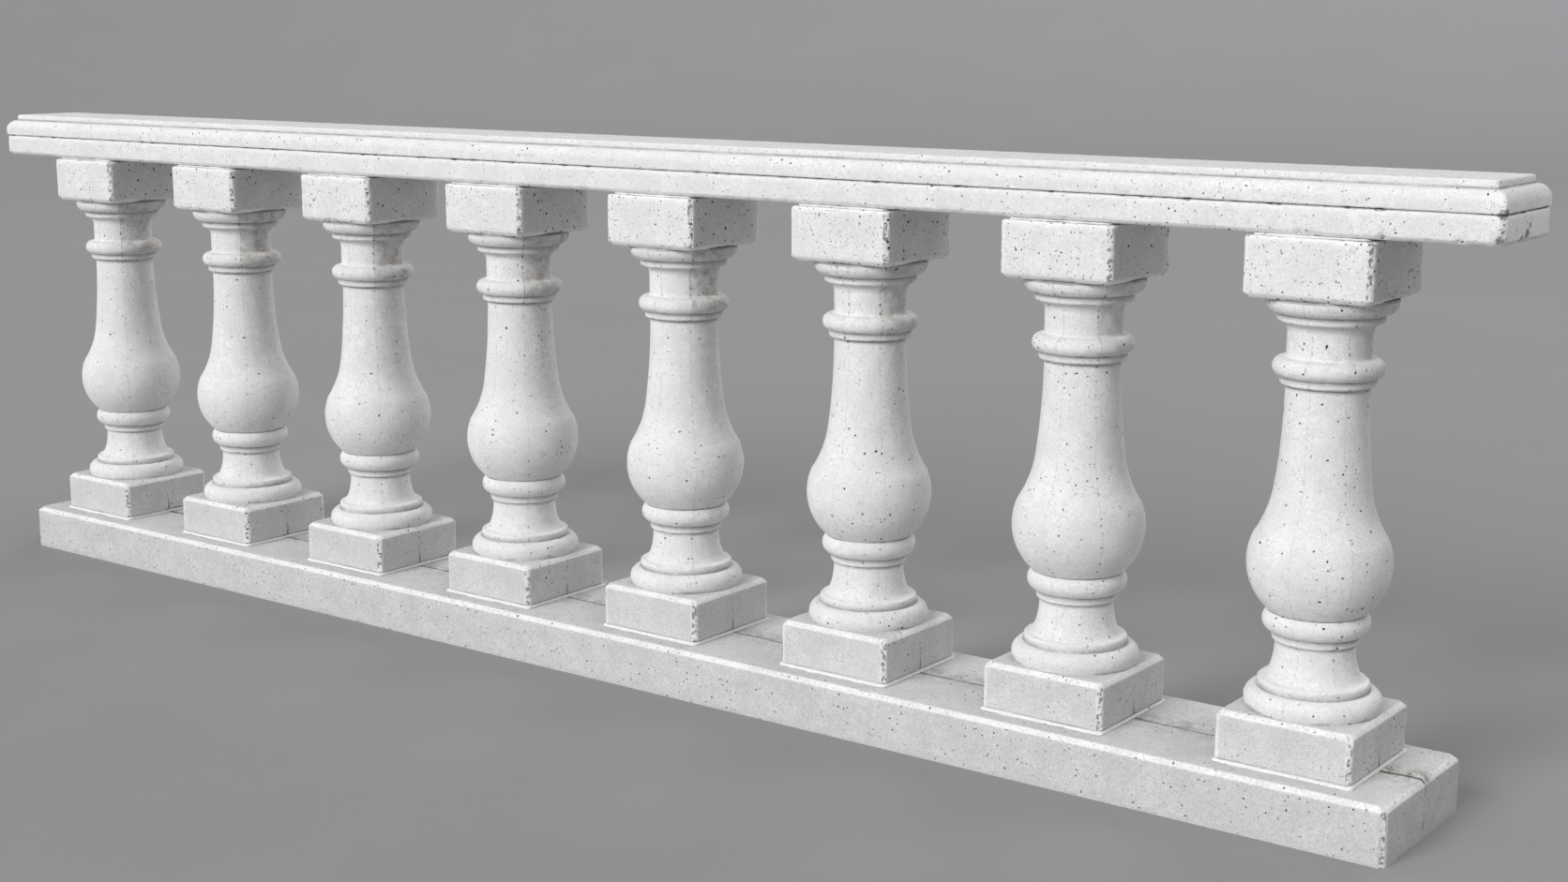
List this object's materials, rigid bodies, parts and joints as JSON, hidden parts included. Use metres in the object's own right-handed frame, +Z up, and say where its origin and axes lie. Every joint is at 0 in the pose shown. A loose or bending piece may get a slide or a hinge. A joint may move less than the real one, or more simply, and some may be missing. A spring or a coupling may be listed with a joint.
{
  "type": "stone balustrade",
  "caption": "Low stone balustrade: turned balusters between square base and cap blocks, standing on a plain plinth and carrying a moulded coping.",
  "frame": {"origin": "on the ground under the middle of the plinth's underside", "axes": "+X along the row of balusters, +Y towards the back, +Z up"},
  "size_m": [3.135, 0.273, 0.8973],
  "materials": {
    "stone": "fine matt cast stone, light grey-white with small pits",
    "mortar": "matt bedding mortar"
  },
  "bodies": {
    "root": {"plinth": "stone", "plinth_mortar": "mortar", "base_block_1": "stone", "base_block_2": "stone", "base_block_3": "stone", "base_block_4": "stone", "base_block_5": "stone", "base_block_6": "stone", "base_block_7": "stone", "base_block_8": "stone", "stem_1": "stone", "stem_2": "stone", "stem_3": "stone", "stem_4": "stone", "stem_5": "stone", "stem_6": "stone", "stem_7": "stone", "stem_8": "stone", "cap_block_1": "stone", "cap_block_2": "stone", "cap_block_3": "stone", "cap_block_4": "stone", "cap_block_5": "stone", "cap_block_6": "stone", "cap_block_7": "stone", "cap_block_8": "stone", "coping_mortar": "mortar", "coping_slab": "stone", "coping_moulding": "stone"}
  },
  "joints": []
}
